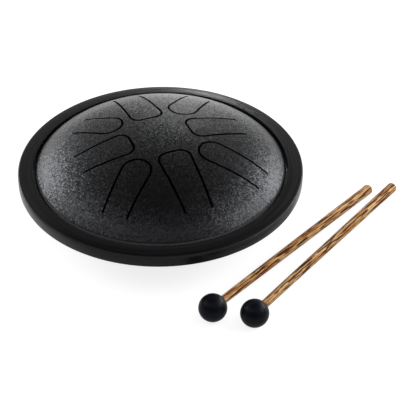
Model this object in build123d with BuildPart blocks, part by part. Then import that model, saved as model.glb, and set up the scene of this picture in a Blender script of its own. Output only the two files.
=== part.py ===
from build123d import *
import math
import os

# Steel tongue drum: a pressed dome with eight sounding tongues and a pressed bowl,
# flange to flange inside a rubber rim band, on three rubber feet, with two beaters
# lying beside it. Millimetres and degrees, +Z up. The origin is on the floor, on the
# drum's axis.

# Rim band
band_r = 90.0  # outer radius, the drum's widest
band_lip_w = 9.7  # radial width of the lips
band_lip_t = 2.1  # each lip at its outer edge, above and below the flanges
band_lip_rise = 1.3  # by which a lip is thicker at its inner edge, so that its face slopes
band_web_t = 3.0  # wall outside the flanges
band_outer_edge_r = 0.9
band_inner_edge_r = 0.5
band_slack = 0.1  # between the flanges' rims and the web

# Shells, both pressed from one sheet thickness
shell_t = 1.5
seam_h = 24.7  # from the bowl's underside to the plane where the flanges meet
groove_flat_w = 1.0  # flange seen at the bottom of the groove inside the band
bend_r = 0.8  # bend between flange and shell, on its hollow side

# Dome's outer face: a short steep skirt above the bend, a rounded corner, then three arcs,
# each given by its radius and by the slope of the face where it begins. The crown's
# radius follows, so that it meets the axis level.
skirt_slope = 80.0
skirt_run = 1.55  # straight stretch of the skirt, along its slope
corner_inner_r = 0.7  # corner above the skirt, on its hollow side
foot_slope = 47.0
foot_arc_r = 41.7
shoulder_slope = 32.3
shoulder_arc_r = 86.0
crown_slope = 18.1

# Bowl: one arc from the bend down to the flat base
bowl_slope = 70.0
sound_hole_r = 20.0

# Tongues, numbered anticlockwise from the right as seen from above. Each is outlined by
# a slit that is open at its root, where the tongue bends. Distances are from the axis.
tongue_count = 8
first_tongue_angle = 22.5
slit_w = 1.4
root_gap = 0.05  # parts the tongue from the dome along the line where it bends
tongue_roots = [55.2, 61.7, 63.2, 57.0, 53.7, 67.6, 64.0, 69.4]
broad_tip = 19.3  # broad tongues, the odd numbers: the slit at the tip
broad_tip_half_w = 10.6
broad_root_half_w = 8.55
broad_corner_r = 6.2
round_tip = 26.9  # round tongues, the even numbers: the slit at the tip
round_tip_r = 9.25
round_root_half_w = 7.9

# Feet: push-in rubber bumpers
foot_count = 3
foot_pad_r = 6.0
foot_pad_h = 4.0
foot_pad_edge_r = 0.8
foot_stem_r = 2.0
foot_hole_slack = 0.1
foot_bulb_r = 3.0
foot_bulb_h = 2.0
foot_bulb_edge_r = 0.6
foot_margin = 1.0  # from the pad to where the bowl starts to rise

# Beaters: a tapered round stick in a rubber ball, each lying on its ball and its tail
ball_r = 8.55
stick_neck_r = 2.55  # inside the ball and where it comes out
stick_tail_r = 3.25
stick_tail_edge_r = 1.8
stick_reach = 159.2  # from the ball's centre to the tail
socket_depth = 3.0  # past the ball's centre
socket_slack = 0.02
left_ball_x = 32.6  # balls' centres on the floor plan
left_ball_y = -106.6
right_ball_x = 56.9
right_ball_y = -111.2
left_heading = 49.6  # sticks' directions on the floor plan, from ball to tail
right_heading = 53.5


def sine(angle):
    return math.sin(math.radians(angle))


def cosine(angle):
    return math.cos(math.radians(angle))


# Heights and radii that follow
band_inner_r = band_r - band_lip_w
flange_r = band_r - band_web_t - band_slack
flat_start_r = band_inner_r - groove_flat_w
base_z = foot_pad_h
seam_z = base_z + seam_h
flange_top_z = seam_z + shell_t
flange_bottom_z = seam_z - shell_t
band_top_z = flange_top_z + band_lip_t
band_bottom_z = flange_bottom_z - band_lip_t

# Dome's arc centres in the plane of radius and height, from the bend inwards. A face
# of slope s has the outward normal (sine(s), cosine(s)) there.
dome_bend = (flat_start_r, flange_top_z + bend_r)
corner_r = corner_inner_r + shell_t
skirt_step = (-skirt_run * cosine(skirt_slope), skirt_run * sine(skirt_slope))
corner_centre = (
    dome_bend[0] + skirt_step[0] - (bend_r + corner_r) * sine(skirt_slope),
    dome_bend[1] + skirt_step[1] - (bend_r + corner_r) * cosine(skirt_slope),
)
foot_centre = (
    corner_centre[0] + (corner_r - foot_arc_r) * sine(foot_slope),
    corner_centre[1] + (corner_r - foot_arc_r) * cosine(foot_slope),
)
shoulder_centre = (
    foot_centre[0] + (foot_arc_r - shoulder_arc_r) * sine(shoulder_slope),
    foot_centre[1] + (foot_arc_r - shoulder_arc_r) * cosine(shoulder_slope),
)
crown_arc_r = shoulder_arc_r + shoulder_centre[0] / sine(crown_slope)
crown_centre = (
    0.0,
    shoulder_centre[1] + (shoulder_arc_r - crown_arc_r) * cosine(crown_slope),
)
apex_z = crown_centre[1] + crown_arc_r

# Bowl's arc: its radius takes it from the bend to the level base
bowl_bend = (flat_start_r, flange_bottom_z - bend_r)
bowl_rise = bowl_bend[1] + bend_r * cosine(bowl_slope) - base_z
bowl_arc_r = bowl_rise / (1 - cosine(bowl_slope))
base_flat_r = flat_start_r - (bend_r + bowl_arc_r) * sine(bowl_slope)
bowl_centre = (base_flat_r, base_z + bowl_arc_r)

foot_circle_r = base_flat_r - foot_pad_r - foot_margin
foot_hole_r = foot_stem_r + foot_hole_slack
base_top_z = base_z + shell_t

# Height from which the tongues are cut down into the cavity
cut_z = apex_z + shell_t
cut_depth = cut_z - seam_z


def dome_section():
    """Half section of the dome and its flange, before the tongues are cut."""
    with BuildSketch(Plane.XZ) as section:
        with BuildLine():
            for inset in (0, shell_t):
                CenterArc(crown_centre, crown_arc_r - inset, 90 - crown_slope, crown_slope)
                CenterArc(
                    shoulder_centre,
                    shoulder_arc_r - inset,
                    90 - shoulder_slope,
                    shoulder_slope - crown_slope,
                )
                CenterArc(
                    foot_centre,
                    foot_arc_r - inset,
                    90 - foot_slope,
                    foot_slope - shoulder_slope,
                )
                CenterArc(
                    corner_centre,
                    corner_r - inset,
                    90 - skirt_slope,
                    skirt_slope - foot_slope,
                )
                skirt_foot = (
                    dome_bend[0] - (bend_r + inset) * sine(skirt_slope),
                    dome_bend[1] - (bend_r + inset) * cosine(skirt_slope),
                )
                Line(
                    skirt_foot,
                    (skirt_foot[0] + skirt_step[0], skirt_foot[1] + skirt_step[1]),
                )
                CenterArc(dome_bend, bend_r + inset, 270 - skirt_slope, skirt_slope)
            Line((0, apex_z), (0, apex_z - shell_t))
            Polyline(
                (flat_start_r, flange_top_z),
                (flange_r, flange_top_z),
                (flange_r, seam_z),
                (flat_start_r, seam_z),
            )
        make_face()
    return section.sketch


def tongue_plane(number):
    """Level plane above the dome, its X along the tongue from the axis outwards."""
    angle = first_tongue_angle + number * 360 / tongue_count
    return Plane(
        origin=(0, 0, cut_z), x_dir=(cosine(angle), sine(angle), 0), z_dir=(0, 0, 1)
    )


def broad_outline(slit_end, far):
    """Middle line of a broad tongue's slit, run on past its end to far."""
    taper = (broad_tip_half_w - broad_root_half_w) / (slit_end - broad_tip)
    far_half_w = broad_tip_half_w - taper * (far - broad_tip)
    with BuildSketch() as outline:
        with BuildLine():
            Polyline(
                (broad_tip, -broad_tip_half_w),
                (far, -far_half_w),
                (far, far_half_w),
                (broad_tip, broad_tip_half_w),
                close=True,
            )
        make_face()
        fillet(outline.vertices().group_by(Axis.X)[0], broad_corner_r)
    return outline.sketch


def round_outline(slit_end, far):
    """Middle line of a round tongue's slit: a tip arc with straight tangent sides."""
    tip_centre = round_tip + round_tip_r
    run = slit_end - tip_centre
    slant = math.asin(round_tip_r / math.hypot(round_root_half_w, run))
    slant -= math.atan2(round_root_half_w, run)
    side_x = tip_centre + round_tip_r * math.sin(slant)
    side_y = round_tip_r * math.cos(slant)
    far_half_w = side_y - (far - side_x) * math.tan(slant)
    with BuildSketch() as outline:
        with BuildLine():
            ThreePointArc((side_x, side_y), (round_tip, 0), (side_x, -side_y))
            Polyline(
                (side_x, -side_y), (far, -far_half_w), (far, far_half_w), (side_x, side_y)
            )
        make_face()
    return outline.sketch


def tongue_outline(number, growth, root):
    """One tongue's plan, grown from the slit's middle line and cut off at its root."""
    slit_end = tongue_roots[number]
    far = slit_end + 2 * slit_w
    draw = round_outline if number % 2 else broad_outline
    with BuildSketch(tongue_plane(number)) as outline:
        add(draw(slit_end, far))
        offset(amount=growth, kind=Kind.INTERSECTION)
        with Locations((root - band_r, 0)):
            Rectangle(2 * band_r, 2 * band_r, mode=Mode.INTERSECT)
    return outline.sketch


def save(part, name):
    """Label a finished piece and write its file."""
    part.label = name
    export_step(part, f"parts/{name}.step")


os.makedirs("parts", exist_ok=True)

# Dome with its flange and eight openings
with BuildPart() as top_shell:
    revolve(dome_section(), axis=Axis.Z)
    for number in range(tongue_count):
        extrude(
            tongue_outline(number, slit_w / 2, tongue_roots[number]),
            amount=-cut_depth,
            mode=Mode.SUBTRACT,
        )
save(top_shell.part, "top_shell")

# Tongues, each filling its opening up to the slit
for number in range(tongue_count):
    with BuildPart() as tongue:
        revolve(dome_section(), axis=Axis.Z)
        extrude(
            tongue_outline(number, -slit_w / 2, tongue_roots[number] - root_gap),
            amount=-cut_depth,
            mode=Mode.INTERSECT,
        )
    save(tongue.part, f"tongue_{number + 1}")

# Bowl with its flange, sound hole and foot holes
with BuildPart() as bottom_shell:
    with BuildSketch(Plane.XZ) as bowl_section:
        with BuildLine():
            for inset in (0, shell_t):
                CenterArc(bowl_centre, bowl_arc_r - inset, 270, bowl_slope)
                CenterArc(bowl_bend, bend_r + inset, 90, bowl_slope)
            Polyline(
                (base_flat_r, base_z),
                (sound_hole_r, base_z),
                (sound_hole_r, base_top_z),
                (base_flat_r, base_top_z),
            )
            Polyline(
                (flat_start_r, flange_bottom_z),
                (flange_r, flange_bottom_z),
                (flange_r, seam_z),
                (flat_start_r, seam_z),
            )
        make_face()
    revolve(axis=Axis.Z)
    with BuildSketch(Plane.XY.offset(base_z)) as foot_holes:
        with PolarLocations(foot_circle_r, foot_count, start_angle=90):
            Circle(foot_hole_r)
    extrude(amount=shell_t, mode=Mode.SUBTRACT)
save(bottom_shell.part, "bottom_shell")

# Rubber channel round both flanges
with BuildPart() as rim_band:
    with BuildSketch(Plane.XZ) as band_section:
        with BuildLine():
            Polyline(
                (band_r, band_bottom_z),
                (band_r, band_top_z),
                (band_inner_r, band_top_z + band_lip_rise),
                (band_inner_r, flange_top_z),
                (band_r - band_web_t, flange_top_z),
                (band_r - band_web_t, flange_bottom_z),
                (band_inner_r, flange_bottom_z),
                (band_inner_r, band_bottom_z - band_lip_rise),
                close=True,
            )
        make_face()
        outer_corners = band_section.vertices().group_by(Axis.X)[-1]
        lip_corners = band_section.vertices().group_by(Axis.X)[0].sort_by(Axis.Y)
        fillet(outer_corners, band_outer_edge_r)
        fillet([lip_corners[0], lip_corners[-1]], band_inner_edge_r)
    revolve(axis=Axis.Z)
save(rim_band.part, "rim_band")

# Feet: pad under the base, stem through it, bulb above it
for number in range(foot_count):
    angle = 90 + number * 360 / foot_count
    place = (foot_circle_r * cosine(angle), foot_circle_r * sine(angle), 0)
    with BuildPart() as foot:
        with BuildSketch(Plane(origin=place, x_dir=(1, 0, 0), z_dir=(0, -1, 0))) as half:
            with BuildLine():
                Polyline(
                    (0, 0),
                    (foot_pad_r, 0),
                    (foot_pad_r, base_z),
                    (foot_stem_r, base_z),
                    (foot_stem_r, base_top_z),
                    (foot_bulb_r, base_top_z),
                    (foot_bulb_r, base_top_z + foot_bulb_h),
                    (0, base_top_z + foot_bulb_h),
                    close=True,
                )
            make_face()
            pad_edge = half.vertices().group_by(Axis.X)[-1].sort_by(Axis.Y)[0]
            bulb_edge = half.vertices().group_by(Axis.Y)[-1].sort_by(Axis.X)[-1]
            fillet(pad_edge, foot_pad_edge_r)
            fillet(bulb_edge, foot_bulb_edge_r)
        revolve(axis=Axis(place, (0, 0, 1)))
    save(foot.part, f"foot_{number + 1}")

# Beaters. The stick slopes down from the ball until its tail's rounding meets the floor.
beater_places = {
    "left": (left_ball_x, left_ball_y, left_heading),
    "right": (right_ball_x, right_ball_y, right_heading),
}
tail_run = stick_reach - stick_tail_edge_r
tail_half = stick_tail_r - stick_tail_edge_r
droop = math.degrees(
    math.asin((ball_r - stick_tail_edge_r) / math.hypot(tail_run, tail_half))
    - math.atan2(tail_half, tail_run)
)
for side, (ball_x, ball_y, heading) in beater_places.items():
    ball_centre = Vector(ball_x, ball_y, ball_r)
    along = Vector(
        cosine(droop) * cosine(heading), cosine(droop) * sine(heading), -sine(droop)
    )
    across = Vector(-sine(heading), cosine(heading), 0)
    with BuildPart() as stick:
        with BuildSketch(Plane(origin=ball_centre, x_dir=along, z_dir=across)) as half:
            with BuildLine():
                Polyline(
                    (-socket_depth, 0),
                    (-socket_depth, stick_neck_r),
                    (ball_r, stick_neck_r),
                    (stick_reach, stick_tail_r),
                    (stick_reach, 0),
                    close=True,
                )
            make_face()
            tail_edge = half.vertices().group_by(Axis.X)[-1].sort_by(Axis.Y)[-1]
            fillet(tail_edge, stick_tail_edge_r)
        revolve(axis=Axis(ball_centre, along))
    save(stick.part, f"stick_{side}")

    with BuildPart() as ball:
        with BuildSketch(Plane(origin=ball_centre, x_dir=along, z_dir=across)) as half:
            with BuildLine():
                CenterArc((0, 0), ball_r, 0, 180)
                Line((-ball_r, 0), (ball_r, 0))
            make_face()
        revolve(axis=Axis(ball_centre, along))
        socket_plane = Plane(origin=ball_centre, x_dir=across, z_dir=along)
        with BuildSketch(socket_plane.offset(-socket_depth)) as socket:
            Circle(stick_neck_r + socket_slack)
        extrude(amount=socket_depth + ball_r, mode=Mode.SUBTRACT)
    save(ball.part, f"ball_{side}")
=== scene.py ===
"""Looks of a steel tongue drum with its two beaters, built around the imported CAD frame.

Every length is in metres, in the frame's own axes: +Z up, the drum's axis through the
origin, the floor at the underside of the feet.
"""
import logging
import math
from collections.abc import Mapping, Sequence
from dataclasses import dataclass
from enum import Enum

import bmesh
import bpy
from mathutils import Euler, Matrix, Vector


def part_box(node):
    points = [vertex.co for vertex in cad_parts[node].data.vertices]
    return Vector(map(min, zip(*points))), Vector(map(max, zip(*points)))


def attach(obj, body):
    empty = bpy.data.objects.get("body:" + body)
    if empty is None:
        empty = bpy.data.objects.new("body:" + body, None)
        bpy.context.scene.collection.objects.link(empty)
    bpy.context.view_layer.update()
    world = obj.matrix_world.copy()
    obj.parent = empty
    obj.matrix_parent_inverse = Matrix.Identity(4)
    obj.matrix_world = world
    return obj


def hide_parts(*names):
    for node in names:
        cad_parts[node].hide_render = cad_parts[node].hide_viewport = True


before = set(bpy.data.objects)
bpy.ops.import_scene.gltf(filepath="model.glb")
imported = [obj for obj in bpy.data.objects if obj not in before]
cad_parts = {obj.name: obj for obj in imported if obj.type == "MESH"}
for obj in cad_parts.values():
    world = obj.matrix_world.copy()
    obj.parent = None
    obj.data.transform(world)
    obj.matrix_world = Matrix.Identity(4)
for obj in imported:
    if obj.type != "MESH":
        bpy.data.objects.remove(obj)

LOG = logging.getLogger("tongue_drum")
MILLIMETRE = 0.001

Colour = tuple[float, float, float]
Range = tuple[float, float]
Socket = bpy.types.NodeSocket
Value = float | Sequence[float] | Socket

WHITE: Colour = (1.0, 1.0, 1.0)
COOL_LIGHT: Colour = (0.98, 1.0, 1.02)
VIOLET_LIGHT: Colour = (1.04, 0.95, 1.06)
OFF_TO_ON: Range = (0.0, 1.0)
ON_TO_OFF: Range = (1.0, 0.0)


class Side(Enum):
    """The two beaters, as seen from the front."""

    LEFT = "left"
    RIGHT = "right"


class Easing(Enum):
    """How a mapped number goes from one end of its range to the other."""

    STRAIGHT = "LINEAR"
    SMOOTH = "SMOOTHSTEP"


def opaque(colour: Colour) -> tuple[float, float, float, float]:
    """A colour with its alpha."""
    return (*colour, 1.0)


class Bench:
    """Adds and wires the nodes of one node tree."""

    def __init__(self, tree: bpy.types.NodeTree) -> None:
        """Start from an empty tree.

        Args:
            tree: the node tree of a material or of the world.
        """
        self.tree = tree
        tree.nodes.clear()

    def add(
        self, kind: str, values: Mapping[str | int, Value] | None = None, **settings: object
    ) -> bpy.types.Node:
        """Add one node, with sockets set to values or wired to other nodes.

        Args:
            kind: the node's type, without the ShaderNode in front.
            values: a number, a vector or another node's output for each input.
            settings: properties of the node itself.

        Returns:
            The new node.
        """
        node = self.tree.nodes.new(f"ShaderNode{kind}")
        for name, setting in settings.items():
            setattr(node, name, setting)
        for key, value in (values or {}).items():
            if isinstance(value, Socket):
                self.tree.links.new(value, node.inputs[key])
            else:
                node.inputs[key].default_value = value
        return node

    def math(self, operation: str, *values: Value) -> Socket:
        """Work out one number from others.

        Args:
            operation: the Math node's operation.
            values: its inputs, in order.

        Returns:
            The socket that carries the result.
        """
        return self.add("Math", dict(enumerate(values)), operation=operation).outputs[0]

    def vector(self, operation: str, *values: Value) -> Socket:
        """Work out one vector from others.

        Args:
            operation: the Vector Math node's operation.
            values: its inputs, in order.

        Returns:
            The socket that carries the result.
        """
        return self.add("VectorMath", dict(enumerate(values)), operation=operation).outputs[0]

    def length(self, vector: Socket) -> Socket:
        """The length of a vector."""
        return self.add("VectorMath", {0: vector}, operation="LENGTH").outputs["Value"]

    def parts(self, vector: Socket) -> Sequence[Socket]:
        """The X, Y and Z of a vector."""
        return self.add("SeparateXYZ", {"Vector": vector}).outputs

    def from_axis(self, place: Socket) -> Socket:
        """The distance of a place from the drum's axis."""
        return self.length(self.vector("MULTIPLY", place, (1.0, 1.0, 0.0)))

    def noise(
        self, place: Socket, scale: float, detail: float, roughness: float = 0.5
    ) -> Socket:
        """A field of soft noise.

        Args:
            place: the coordinates to read it at.
            scale: grains per unit of those coordinates.
            detail: octaves of finer noise.
            roughness: strength of the finer octaves.

        Returns:
            The socket with the noise, from 0 to 1.
        """
        values = {"Vector": place, "Scale": scale, "Detail": detail, "Roughness": roughness}
        return self.add("TexNoise", values).outputs["Fac"]

    def spread(
        self,
        value: Socket,
        source: Range,
        target: Range = OFF_TO_ON,
        easing: Easing = Easing.SMOOTH,
    ) -> Socket:
        """Map one range of numbers onto another, held at its ends.

        Args:
            value: the number to map.
            source: the two values read.
            target: what they become.
            easing: how it goes from one to the other.

        Returns:
            The socket with the mapped number.
        """
        values = {
            "Value": value,
            "From Min": source[0],
            "From Max": source[1],
            "To Min": target[0],
            "To Max": target[1],
        }
        return self.add("MapRange", values, interpolation_type=easing.value).outputs[0]

    def ramp(self, factor: Socket, stops: Sequence[float], colours: Sequence[Colour]) -> Socket:
        """A run of colours.

        Args:
            factor: where to read it, from 0 to 1.
            stops: places on it, in order.
            colours: the colour at each of them.

        Returns:
            The socket with the colour.
        """
        node = self.add("ValToRGB", {"Fac": factor})
        elements = node.color_ramp.elements
        while len(elements) < len(stops):
            elements.new(1.0)
        for element, place, colour in zip(elements, stops, colours, strict=True):
            element.position = place
            element.color = opaque(colour)
        return node.outputs["Color"]

    def mix(self, factor: Socket, first: Value, second: Value) -> Socket:
        """Blend two colours.

        Args:
            factor: the share of the second, from 0 to 1.
            first: the colour at 0.
            second: the colour at 1.

        Returns:
            The socket with the blend.
        """
        # The node's colour sockets share their names with others, so they go by number.
        values = {0: factor, 6: first, 7: second}
        return self.add("Mix", values, data_type="RGBA").outputs[2]

    def bump(self, height: Socket, depth: float) -> Socket:
        """A relief pressed into the shading normal.

        Args:
            height: the relief, from 0 to 1.
            depth: its full height in metres.

        Returns:
            The socket with the normal.
        """
        return self.add("Bump", {"Height": height, "Distance": depth}).outputs["Normal"]

    def close(self, kind: str, values: Mapping[str | int, Value], output: str) -> None:
        """Add the last shader and wire it to the tree's output.

        Args:
            kind: the shader node's type.
            values: its inputs.
            output: the output node's type.
        """
        self.add(output, {"Surface": self.add(kind, values).outputs[0]})

    def close_material(self, surface: Mapping[str | int, Value]) -> None:
        """Finish a material with a Principled shader of these inputs."""
        self.close("BsdfPrincipled", surface, "OutputMaterial")


def new_material(name: str) -> tuple[bpy.types.Material, Bench]:
    """A material with an empty node tree.

    Args:
        name: the material's name.

    Returns:
        The material, and a bench to wire its nodes on.
    """
    material = bpy.data.materials.new(name)
    material.use_nodes = True
    return material, Bench(material.node_tree)


@dataclass(frozen=True)
class CoatFinish:
    """Black coat baked on the steel: fine metal flakes, each tilted and shaded on its own.

    The upright walls of the slits are painted near-black, a painted shade, and on the steep skirt
    at the dome's edge a pale non-metallic colour is painted as painted light. A range named facing
    is of the normal's Z, which is 1 on a level face.
    """

    name: str = "black_flecked_coat"
    dark: Colour = (0.038, 0.0384, 0.0399)
    pale: Colour = (0.05, 0.0505, 0.0525)
    slit_wall_shade: Colour = (0.004, 0.004, 0.004)
    slit_wall_shade_facing: Range = (0.06, 0.2)
    skirt_painted_light: Colour = (0.1, 0.1, 0.104)
    skirt_radius: Range = (75.5 * MILLIMETRE, 76.5 * MILLIMETRE)
    skirt_facing: Range = (0.25, 0.6)
    outside_facing: Range = (0.0, 0.1)
    flake: float = 0.75 * MILLIMETRE
    tilt: float = 0.26
    smoothest: float = 0.34
    roughest: float = 0.42

    def material(self) -> bpy.types.Material:
        """The coat as a material.

        Returns:
            The material. Its flakes are cells, each with a tilt, a shade and a gloss by chance.
        """
        material, bench = new_material(self.name)
        coordinates = bench.add("TexCoord").outputs
        place = coordinates["Object"]
        normal = coordinates["Normal"]
        cells = {"Vector": place, "Scale": 1 / self.flake}
        flakes = bench.add("TexVoronoi", cells).outputs["Color"]
        chance = bench.add("TexWhiteNoise", {"Vector": flakes}).outputs["Color"]
        shade, gloss, _ = bench.parts(chance)
        upward = bench.parts(normal)[2]
        # painted shade: the upright slit walls get a near-black colour instead of the flaked skin
        outside_slit_wall_shade = bench.spread(bench.math("ABSOLUTE", upward), self.slit_wall_shade_facing)
        skin = bench.ramp(shade, OFF_TO_ON, (self.dark, self.pale))
        skin_with_slit_wall_shade = bench.mix(outside_slit_wall_shade, opaque(self.slit_wall_shade), skin)
        # painted light: the outward-facing steep skirt gets a pale non-metallic colour so it reads
        # as bright as the dome's edge
        skirt = self._painted_skirt_light(bench, place, upward)
        shine = (self.roughest, self.smoothest)
        surface = {
            "Base Color": bench.mix(skirt, skin_with_slit_wall_shade, opaque(self.skirt_painted_light)),
            "Metallic": bench.math("SUBTRACT", 1.0, skirt),
            "Roughness": bench.spread(gloss, OFF_TO_ON, shine, Easing.STRAIGHT),
            "Normal": self._tilted(bench, normal, flakes),
        }
        bench.close_material(surface)
        return material

    def _painted_skirt_light(self, bench: Bench, place: Socket, upward: Socket) -> Socket:
        """Where a pale non-metallic colour is painted on the steep skirt at the dome's edge, as
        painted light.

        Args:
            bench: the material's bench.
            place: the object's coordinates.
            upward: how far the surface faces up, from -1 to 1.

        Returns:
            The socket with the share of painted light, from 0 to 1.
        """
        outer = bench.spread(bench.from_axis(place), self.skirt_radius)
        steep = bench.spread(upward, self.skirt_facing, ON_TO_OFF)
        outside = bench.spread(upward, self.outside_facing, OFF_TO_ON, Easing.STRAIGHT)
        return bench.math("MULTIPLY", bench.math("MULTIPLY", outer, steep), outside)

    def _tilted(self, bench: Bench, normal: Socket, flakes: Socket) -> Socket:
        """The surface's normal, turned a little at each flake.

        Args:
            bench: the material's bench.
            normal: the smooth normal in the object's axes.
            flakes: a random vector for each flake, from 0 to 1.

        Returns:
            The socket with the turned normal.
        """
        swing = (self.tilt,) * 3
        centring = (-self.tilt / 2,) * 3
        lean = bench.vector("MULTIPLY_ADD", flakes, swing, centring)
        turned = bench.vector("ADD", normal, lean)
        half = (0.5,) * 3
        colour = bench.vector("MULTIPLY_ADD", turned, half, half)
        return bench.add("NormalMap", {"Color": colour}, space="OBJECT").outputs[0]


@dataclass(frozen=True)
class RimFinish:
    """Satin rubber of the rim band, faint scuffs running round it, a painted highlight on its
    edges.
    """

    name: str = "satin_rim_rubber"
    dark: Colour = (0.0045, 0.0045, 0.005)
    pale: Colour = (0.0085, 0.0085, 0.009)
    edge_highlight: Colour = (0.02, 0.02, 0.02)
    edge_highlight_width: float = 0.4 * MILLIMETRE
    scuff_width: float = 0.9 * MILLIMETRE
    scuff_length: float = 60 * MILLIMETRE
    scuff_detail: float = 1.0
    scuff_roughness: float = 0.4
    shade_range: Range = (0.38, 0.66)
    gloss_range: Range = (0.35, 0.65)
    smoothest: float = 0.25
    roughest: float = 0.33
    specular: float = 0.19

    def material(self, seam: float, corner: float) -> bpy.types.Material:
        """The rubber as a material.

        Args:
            seam: height of the band's middle plane.
            corner: radius plus height above the seam on the band's outer edges.

        Returns:
            The material. Its scuffs are noise drawn out along the rim.
        """
        material, bench = new_material(self.name)
        place = bench.add("TexCoord").outputs["Object"]
        x, y, z = bench.parts(place)
        radius = bench.from_axis(place)
        along = 1 / self.scuff_length
        drawn_out = {
            "X": bench.math("MULTIPLY", x, along),
            "Y": bench.math("MULTIPLY", y, along),
            "Z": bench.math("DIVIDE", bench.math("ADD", radius, z), self.scuff_width),
        }
        around = bench.add("CombineXYZ", drawn_out).outputs[0]
        scuffs = bench.noise(around, 1.0, self.scuff_detail, self.scuff_roughness)
        rise = bench.math("ABSOLUTE", bench.math("SUBTRACT", z, seam))
        # painted highlight: a thin paler colour along the band's outer edges
        reach = (corner - self.edge_highlight_width, corner)
        painted_edge_highlight = bench.spread(bench.math("ADD", radius, rise), reach)
        skin = bench.ramp(scuffs, self.shade_range, (self.dark, self.pale))
        shine = (self.smoothest, self.roughest)
        surface = {
            "Base Color": bench.mix(painted_edge_highlight, skin, opaque(self.edge_highlight)),
            "Roughness": bench.spread(scuffs, self.gloss_range, shine, Easing.STRAIGHT),
            "Specular IOR Level": self.specular,
        }
        bench.close_material(surface)
        return material


@dataclass(frozen=True)
class RubberFinish:
    """Plain moulded rubber, slightly mottled."""

    name: str
    dark: Colour
    pale: Colour
    mottle: float = 3.0 * MILLIMETRE
    mottle_detail: float = 3.0
    mottle_roughness: float = 0.55
    mottle_range: Range = (0.3, 0.7)
    skin: float = 0.35 * MILLIMETRE
    skin_detail: float = 1.0
    skin_depth: float = 0.01 * MILLIMETRE
    smoothest: float = 0.33
    roughest: float = 0.4
    specular: float = 0.09

    def material(self) -> bpy.types.Material:
        """The rubber as a material.

        Returns:
            The material. Where its mottling is paler, it is also rougher.
        """
        material, bench = new_material(self.name)
        place = bench.add("TexCoord").outputs["Object"]
        mottle = bench.noise(place, 1 / self.mottle, self.mottle_detail, self.mottle_roughness)
        skin = bench.noise(place, 1 / self.skin, self.skin_detail)
        shine = (self.smoothest, self.roughest)
        surface = {
            "Base Color": bench.ramp(mottle, self.mottle_range, (self.dark, self.pale)),
            "Roughness": bench.spread(mottle, self.mottle_range, shine, Easing.STRAIGHT),
            "Normal": bench.bump(skin, self.skin_depth),
            "Specular IOR Level": self.specular,
        }
        bench.close_material(surface)
        return material


FOOT_RUBBER = RubberFinish(
    "matt_foot_rubber", dark=(0.006, 0.006, 0.006), pale=(0.011, 0.011, 0.011)
)
BALL_RUBBER = RubberFinish(
    "blue_black_ball_rubber", dark=(0.004, 0.0048, 0.0074), pale=(0.0057, 0.0068, 0.0104)
)


@dataclass(frozen=True)
class WoodFinish:
    """Oiled streaky hardwood: tan and brown bands with short dark dashes along the grain."""

    name: str = "streaked_wood"
    dash: Colour = (0.055, 0.009, 0.001)
    brown: Colour = (0.23, 0.065, 0.012)
    tan: Colour = (0.5, 0.26, 0.095)
    straw: Colour = (0.71, 0.5, 0.26)
    band_width: float = 1.3 * MILLIMETRE
    band_length: float = 38 * MILLIMETRE
    band_detail: float = 2.0
    band_share: float = 0.55
    dash_width: float = 1.0 * MILLIMETRE
    dash_length: float = 14 * MILLIMETRE
    dash_detail: float = 1.0
    dash_range: Range = (0.51, 0.58)
    dash_share: float = 0.95
    pore_width: float = 0.5 * MILLIMETRE
    pore_length: float = 6 * MILLIMETRE
    pore_detail: float = 2.0
    pore_share: float = 0.45
    pore_depth: float = 0.025 * MILLIMETRE
    grain_roughness: float = 0.55
    shade_stops: tuple[float, float, float] = (0.39, 0.5, 0.61)
    gloss_range: Range = (0.38, 0.6)
    slant: float = 0.03
    smoothest: float = 0.34
    roughest: float = 0.5
    specular: float = 0.05

    def material(self, side: Side, along: Vector) -> bpy.types.Material:
        """The wood of one stick.

        Args:
            side: which stick.
            along: the stick's direction.

        Returns:
            The material, its grain turned to the stick.
        """
        material, bench = new_material(f"{self.name}_{side.value}")
        place = bench.add("TexCoord").outputs["Object"]
        turn = along.to_track_quat("X", "Z").inverted().to_euler()
        lengthwise = bench.add("Mapping", {"Vector": place, "Rotation": turn}).outputs[0]
        tilted = {"Vector": lengthwise, "Rotation": (0.0, self.slant, self.slant)}
        grain = bench.add("Mapping", tilted).outputs[0]
        bands = self._streaks(bench, grain, (self.band_length, self.band_width), self.band_detail)
        dashes = self._streaks(bench, grain, (self.dash_length, self.dash_width), self.dash_detail)
        pores = self._streaks(bench, grain, (self.pore_length, self.pore_width), self.pore_detail)
        coarse = bench.math("MULTIPLY", bands, self.band_share)
        fine = bench.math("MULTIPLY", pores, self.pore_share)
        figure = bench.math("ADD", coarse, fine)
        shades = bench.ramp(figure, self.shade_stops, (self.brown, self.tan, self.straw))
        dark = bench.spread(dashes, self.dash_range, (0.0, self.dash_share))
        shine = (self.roughest, self.smoothest)
        surface = {
            "Base Color": bench.mix(dark, shades, opaque(self.dash)),
            "Roughness": bench.spread(figure, self.gloss_range, shine, Easing.STRAIGHT),
            "Normal": bench.bump(pores, self.pore_depth),
            "Specular IOR Level": self.specular,
        }
        bench.close_material(surface)
        return material

    def _streaks(
        self, bench: Bench, grain: Socket, size: tuple[float, float], detail: float
    ) -> Socket:
        """Noise drawn out along the grain.

        Args:
            bench: the material's bench.
            grain: coordinates with X along the grain.
            size: a streak's length and width.
            detail: octaves of finer noise.

        Returns:
            The socket with the noise.
        """
        length, width = size
        scale = (1 / length, 1 / width, 1 / width)
        stretched = bench.add("Mapping", {"Vector": grain, "Scale": scale}).outputs[0]
        return bench.noise(stretched, 1.0, detail, self.grain_roughness)


def dress(piece: bpy.types.Object, material: bpy.types.Material) -> None:
    """Give a piece one material all over."""
    piece.data.materials.clear()
    piece.data.materials.append(material)


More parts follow.
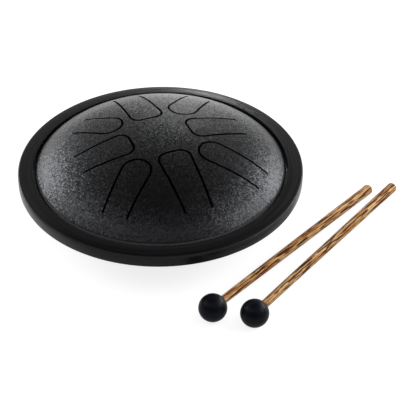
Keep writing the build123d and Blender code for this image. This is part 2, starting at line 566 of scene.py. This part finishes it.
def piece_from(mesh: bmesh.types.BMesh, name: str, smooth_to: float) -> bpy.types.Object:
    """Turn a finished bmesh into an object at the origin.

    Args:
        mesh: the shape, already in its place. It is freed.
        name: the object's name.
        smooth_to: edges sharper than this angle stay sharp.

    Returns:
        The new object, linked to the scene.
    """
    data = bpy.data.meshes.new(name)
    mesh.to_mesh(data)
    mesh.free()
    data.polygons.foreach_set("use_smooth", [True] * len(data.polygons))
    data.set_sharp_from_angle(angle=smooth_to)
    piece = bpy.data.objects.new(name, data)
    bpy.context.scene.collection.objects.link(piece)
    return piece


def node_of(name: str) -> bpy.types.Object:
    """The CAD object of one node."""
    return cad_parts[name]


@dataclass
class SoundingDome:
    """The pressed dome and its eight tongues."""

    tongue_count: int = 8

    def build(self, coat: bpy.types.Material) -> None:
        """Coat the dome and its tongues.

        Args:
            coat: the steel's finish.
        """
        dress(node_of("top_shell"), coat)
        LOG.info("top_shell coated")
        for number in range(1, self.tongue_count + 1):
            dress(node_of(f"tongue_{number}"), coat)
            LOG.info("tongue_%d coated", number)


@dataclass
class Bowl:
    """The pressed bowl under the dome, on its three feet."""

    foot_count: int = 3

    def build(self, coat: bpy.types.Material, rubber: bpy.types.Material) -> None:
        """Coat the bowl and dress its feet.

        Args:
            coat: the steel's finish.
            rubber: the feet's finish.
        """
        dress(node_of("bottom_shell"), coat)
        LOG.info("bottom_shell coated")
        for number in range(1, self.foot_count + 1):
            dress(node_of(f"foot_{number}"), rubber)
            LOG.info("foot_%d dressed", number)


@dataclass
class RimBand:
    """The rubber channel round both flanges, its sloping lips slightly crowned."""

    body: str = "drum"
    lip_width: float = 9.7 * MILLIMETRE
    lip_thickness: float = 2.1 * MILLIMETRE
    lip_rise: float = 1.3 * MILLIMETRE
    flange: float = 1.5 * MILLIMETRE
    web: float = 3.0 * MILLIMETRE
    outer_edge: float = 0.9 * MILLIMETRE
    inner_edge: float = 0.5 * MILLIMETRE
    crown: float = 0.2 * MILLIMETRE
    crown_cuts: int = 9
    edge_segments: int = 6
    turns: int = 320
    smooth_to: float = math.radians(40)

    def build(self, rubber: RimFinish) -> bpy.types.Object:
        """Model the band and put it in the CAD node's place.

        Args:
            rubber: its finish.

        Returns:
            The band.
        """
        low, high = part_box("rim_band")
        seam = (low.z + high.z) / 2
        edge = self.flange + self.lip_thickness
        # Halfway round the corner's arc, radius and height together fall short by this.
        rounded_off = self.outer_edge * (2 - math.sqrt(2))
        corner = high.x + edge - rounded_off
        band = piece_from(self._spun(high.x, seam, edge), "rim_band_moulded", self.smooth_to)
        dress(band, rubber.material(seam, corner))
        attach(band, self.body)
        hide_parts("rim_band")
        LOG.info("%s rides on %s", band.name, self.body)
        return band

    def _spun(self, outer: float, seam: float, edge: float) -> bmesh.types.BMesh:
        """The band's section, rounded, crowned and spun about the drum's axis.

        Args:
            outer: the band's radius.
            seam: height of the plane between the flanges.
            edge: half the band's height at its outside.

        Returns:
            The closed band.
        """
        inner = outer - self.lip_width
        half = [
            (outer, edge),
            (inner, edge + self.lip_rise),
            (inner, self.flange),
            (outer - self.web, self.flange),
        ]
        mesh = bmesh.new()
        upper = [mesh.verts.new((r, 0.0, seam + h)) for r, h in half]
        lower = [mesh.verts.new((r, 0.0, seam - h)) for r, h in half]
        mesh.faces.new(upper + lower[::-1])
        self._round(mesh, [upper[0], lower[0]], self.outer_edge)
        self._round(mesh, [upper[1], lower[1]], self.inner_edge)
        bmesh.ops.delete(mesh, geom=mesh.faces[:], context="FACES_ONLY")
        self._crown(mesh, seam, edge)
        bmesh.ops.spin(
            mesh,
            geom=mesh.verts[:] + mesh.edges[:],
            axis=(0, 0, 1),
            angle=math.tau,
            steps=self.turns,
            use_merge=True,
        )
        bmesh.ops.recalc_face_normals(mesh, faces=mesh.faces[:])
        return mesh

    def _round(
        self, mesh: bmesh.types.BMesh, corners: list[bmesh.types.BMVert], radius: float
    ) -> None:
        """Round corners of the section.

        Args:
            mesh: the section, one face.
            corners: the vertices to round.
            radius: how far back from the corner the rounding starts.
        """
        bmesh.ops.bevel(
            mesh,
            geom=corners,
            offset=radius,
            segments=self.edge_segments,
            profile=0.5,
            material=-1,
            affect="VERTICES",
        )

    def _crown(self, mesh: bmesh.types.BMesh, seam: float, edge: float) -> None:
        """Swell the outsides of both lips in the middle.

        Args:
            mesh: the section's edges.
            seam: height of the plane between the flanges.
            edge: half the band's height at its outside.
        """
        faces = [
            e
            for e in mesh.edges
            if e.calc_length() > self.lip_width / 2
            and all(abs(v.co.z - seam) > edge - self.outer_edge for v in e.verts)
        ]
        ends = sorted(v.co.x for v in faces[0].verts)
        middle = sum(ends) / 2
        reach = (ends[1] - ends[0]) / 2
        cut = bmesh.ops.subdivide_edges(mesh, edges=faces, cuts=self.crown_cuts)
        for vertex in cut["geom_inner"]:
            if isinstance(vertex, bmesh.types.BMVert):
                swell = self.crown * (1 - ((vertex.co.x - middle) / reach) ** 2)
                vertex.co.z += math.copysign(swell, vertex.co.z - seam)


@dataclass
class Beater:
    """A streaky wooden stick in a rubber ball."""

    side: Side

    def build(self, wood: WoodFinish, rubber: bpy.types.Material) -> None:
        """Dress the stick and its ball.

        Args:
            wood: the stick's finish.
            rubber: the ball's finish.
        """
        stick = node_of(f"stick_{self.side.value}")
        ball = node_of(f"ball_{self.side.value}")
        dress(stick, wood.material(self.side, self._along()))
        dress(ball, rubber)
        LOG.info("%s and %s dressed", stick.name, ball.name)

    def _along(self) -> Vector:
        """The stick's direction.

        Returns:
            A unit vector from the middle of the ball towards the middle of the stick.
        """
        ball_low, ball_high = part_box(f"ball_{self.side.value}")
        stick_low, stick_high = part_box(f"stick_{self.side.value}")
        return ((stick_low + stick_high) / 2 - (ball_low + ball_high) / 2).normalized()


@dataclass(frozen=True)
class Softbox:
    """One rectangular studio light.

    Its bearing is the azimuth and elevation in degrees. Azimuth 0 is behind the drum and 90
    to its right. Its size is the width and height.
    """

    name: str
    bearing: tuple[float, float]
    size: tuple[float, float]
    radiance: float
    colour: Colour = WHITE
    distance: float = 0.9

    def build(self, target: Vector) -> bpy.types.Object:
        """Hang the light so that it faces a point.

        Args:
            target: where it points.

        Returns:
            The light.
        """
        width, height = self.size
        data = bpy.data.lights.new(self.name, "AREA")
        data.shape = "RECTANGLE"
        data.size = width
        data.size_y = height
        data.energy = self.radiance * math.pi * width * height
        data.color = self.colour
        turn, rise = (math.radians(angle) for angle in self.bearing)
        level = math.cos(rise)
        out = Vector((math.sin(turn) * level, math.cos(turn) * level, math.sin(rise)))
        light = bpy.data.objects.new(self.name, data)
        light.location = target + out * self.distance
        light.rotation_euler = out.to_track_quat("Z", "Y").to_euler()
        light.visible_camera = False
        bpy.context.scene.collection.objects.link(light)
        return light


@dataclass
class Studio:
    """White floor, light tent, softboxes and the camera.

    The tent's ranges are of the height or depth of a unit direction, the patch's of its slope
    to the right. The camera's angles turn it up from looking straight down.
    """

    floor_half: float = 6.0
    floor_drop: float = 0.05 * MILLIMETRE
    floor_albedo: Range = (0.02, 0.4)
    floor_glow: float = 0.8
    unlit: Range = (46 * MILLIMETRE, 56 * MILLIMETRE)
    behind: Range = (60 * MILLIMETRE, 300 * MILLIMETRE)
    mirrored_glow: float = 0.8
    backlit_glow: float = 0.9
    patch_left: Range = (-0.14, 0.02)
    patch_right: Range = (0.15, 0.4)
    patch_ends: float = 0.3
    ahead: Range = (-110 * MILLIMETRE, -70 * MILLIMETRE)
    mirrored_dim: Range = (0.5, 1.0)
    tent_foot: float = 1.5
    tent_wall: float = 0.35
    tent_top: float = 0.03
    tent_foot_rise: Range = (0.09, 0.22)
    tent_foot_share: Range = (0.5, 1.0)
    tent_wall_rise: Range = (0.7, 0.82)
    tent_turn: Range = (0.15, 0.37)
    fill: float = 0.35
    light_target: Vector = Vector((0.0, 0.0, 30 * MILLIMETRE))
    lens: float = 119.98
    sensor: float = 36.0
    eye: Vector = Vector((24.854, -702.534, 559.291)) * MILLIMETRE
    pitch: float = math.radians(51.36863)
    roll: float = math.radians(-0.36526)
    heading: float = math.radians(-0.13709)

    def build(self) -> None:
        """Set up the view, the floor, the world and the lights."""
        bpy.context.scene.view_settings.view_transform = "Standard"
        self._floor()
        self._world()
        for light in self._lights():
            light.build(self.light_target)
            LOG.info("%s hung", light.name)
        self._camera()

    def _lights(self) -> list[Softbox]:
        """The softboxes, most of them behind the drum or beside it.

        Returns:
            The lights, not yet hung.
        """
        return [
            Softbox("softbox_left", (-57, 18), (0.45, 0.28), 9.4, COOL_LIGHT),
            Softbox("softbox_right", (59, 18), (0.45, 0.28), 10.0, COOL_LIGHT),
            Softbox("softbox_far_left", (-92, 36), (0.35, 0.35), 2.9, COOL_LIGHT),
            Softbox("softbox_far_right", (93, 33), (0.52, 0.45), 3.6, COOL_LIGHT),
            Softbox("lamp_back", (4, 20), (0.1, 0.1), 25.0, distance=1.2),
            Softbox("softbox_front_left", (-130, 50), (0.45, 0.35), 0.9, VIOLET_LIGHT),
            Softbox("softbox_front_right", (130, 50), (0.45, 0.35), 0.3, VIOLET_LIGHT),
            Softbox("strip_front", (180, 55), (0.9, 0.4), 0.55, VIOLET_LIGHT, distance=1.0),
        ]

    def _floor(self) -> None:
        """A wide pale floor, white to the camera, that keeps soft shadows.

        It is dark under the base, where no light would reach it. In reflections it is
        brighter behind the drum, where the back lights fall, and dimmer ahead of it.
        """
        mesh = bmesh.new()
        bmesh.ops.create_grid(mesh, x_segments=1, y_segments=1, size=self.floor_half)
        bmesh.ops.translate(mesh, verts=mesh.verts[:], vec=(0, 0, -self.floor_drop))
        floor = piece_from(mesh, "studio_floor", math.pi)
        material, bench = new_material("studio_floor_white")
        paths = bench.add("LightPath").outputs
        mirrored = bench.math("MAXIMUM", paths["Is Glossy Ray"], paths["Is Transmission Ray"])
        place = bench.add("TexCoord").outputs["Object"]
        distance = bench.length(place)
        lit = bench.spread(distance, self.unlit)
        across, depth, _ = bench.parts(place)
        reach = bench.spread(depth, self.behind, (0.0, self.backlit_glow))
        backlit = bench.math("MULTIPLY", reach, self._patch(bench, across, depth))
        dim = bench.spread(depth, self.ahead, self.mirrored_dim)
        lifted = bench.math("MULTIPLY", bench.math("ADD", backlit, self.mirrored_glow), dim)
        seen = bench.math("MULTIPLY", mirrored, lifted)
        direct = bench.math("MULTIPLY", paths["Is Camera Ray"], self.floor_glow)
        glow = bench.math("MAXIMUM", direct, seen)
        surface = {
            "Base Color": bench.spread(distance, self.unlit, self.floor_albedo),
            "Roughness": 1.0,
            "Specular IOR Level": 0.0,
            "Emission Color": opaque(WHITE),
            "Emission Strength": bench.math("MULTIPLY", lit, glow),
        }
        bench.close_material(surface)
        dress(floor, material)

    def _patch(self, bench: Bench, across: Socket, depth: Socket) -> Socket:
        """The low light behind the drum, strongest a little right of the middle.

        Args:
            bench: the bench of the floor or the world.
            across: how far to the right.
            depth: how far to the back.

        Returns:
            The socket with its strength, from 0 to 1.
        """
        slope = bench.math("DIVIDE", across, depth)
        rising = bench.spread(slope, self.patch_left, (self.patch_ends, 1.0))
        falling = bench.spread(slope, self.patch_right, (1.0, self.patch_ends))
        return bench.math("MINIMUM", rising, falling)

    def _world(self) -> None:
        """Light tent behind the drum: bright at its foot, dim above and dark overhead."""
        world = bpy.data.worlds.new("light_tent")
        world.use_nodes = True
        bpy.context.scene.world = world
        bench = Bench(world.node_tree)
        direction = bench.add("TexCoord").outputs["Generated"]
        across, depth, height = bench.parts(direction)
        low = bench.spread(height, self.tent_foot_rise, (self.tent_foot, 0.0))
        patch = self._patch(bench, across, depth)
        share = bench.spread(patch, OFF_TO_ON, self.tent_foot_share, Easing.STRAIGHT)
        foot = bench.math("MULTIPLY", low, share)
        wall = bench.spread(height, self.tent_wall_rise, (self.tent_wall, 0.0))
        turned = bench.spread(depth, self.tent_turn)
        back = bench.math("MULTIPLY", bench.math("MAXIMUM", foot, wall), turned)
        tent = bench.math("MAXIMUM", back, self.tent_top)
        paths = bench.add("LightPath").outputs
        filled = bench.math("MULTIPLY", paths["Is Diffuse Ray"], self.fill)
        lit = bench.math("ADD", tent, filled)
        strength = bench.math("MAXIMUM", lit, paths["Is Camera Ray"])
        glow = {"Color": opaque(WHITE), "Strength": strength}
        bench.close("Background", glow, "OutputWorld")

    def _camera(self) -> None:
        """The camera at the photograph's place, with no shift."""
        data = bpy.data.cameras.new("camera")
        data.lens = self.lens
        data.sensor_width = self.sensor
        camera = bpy.data.objects.new("camera", data)
        turned = Euler((self.pitch, self.roll, self.heading)).to_matrix().to_4x4()
        camera.matrix_world = Matrix.Translation(self.eye) @ turned
        bpy.context.scene.collection.objects.link(camera)
        bpy.context.scene.camera = camera


def main() -> None:
    """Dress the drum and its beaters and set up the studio."""
    logging.basicConfig(level=logging.INFO, format="%(message)s")
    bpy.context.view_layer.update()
    coat = CoatFinish().material()
    foot_rubber = FOOT_RUBBER.material()
    ball_rubber = BALL_RUBBER.material()
    SoundingDome().build(coat)
    Bowl().build(coat, foot_rubber)
    RimBand().build(RimFinish())
    for side in Side:
        Beater(side).build(WoodFinish(), ball_rubber)
    Studio().build()


if __name__ == "__main__":
    main()
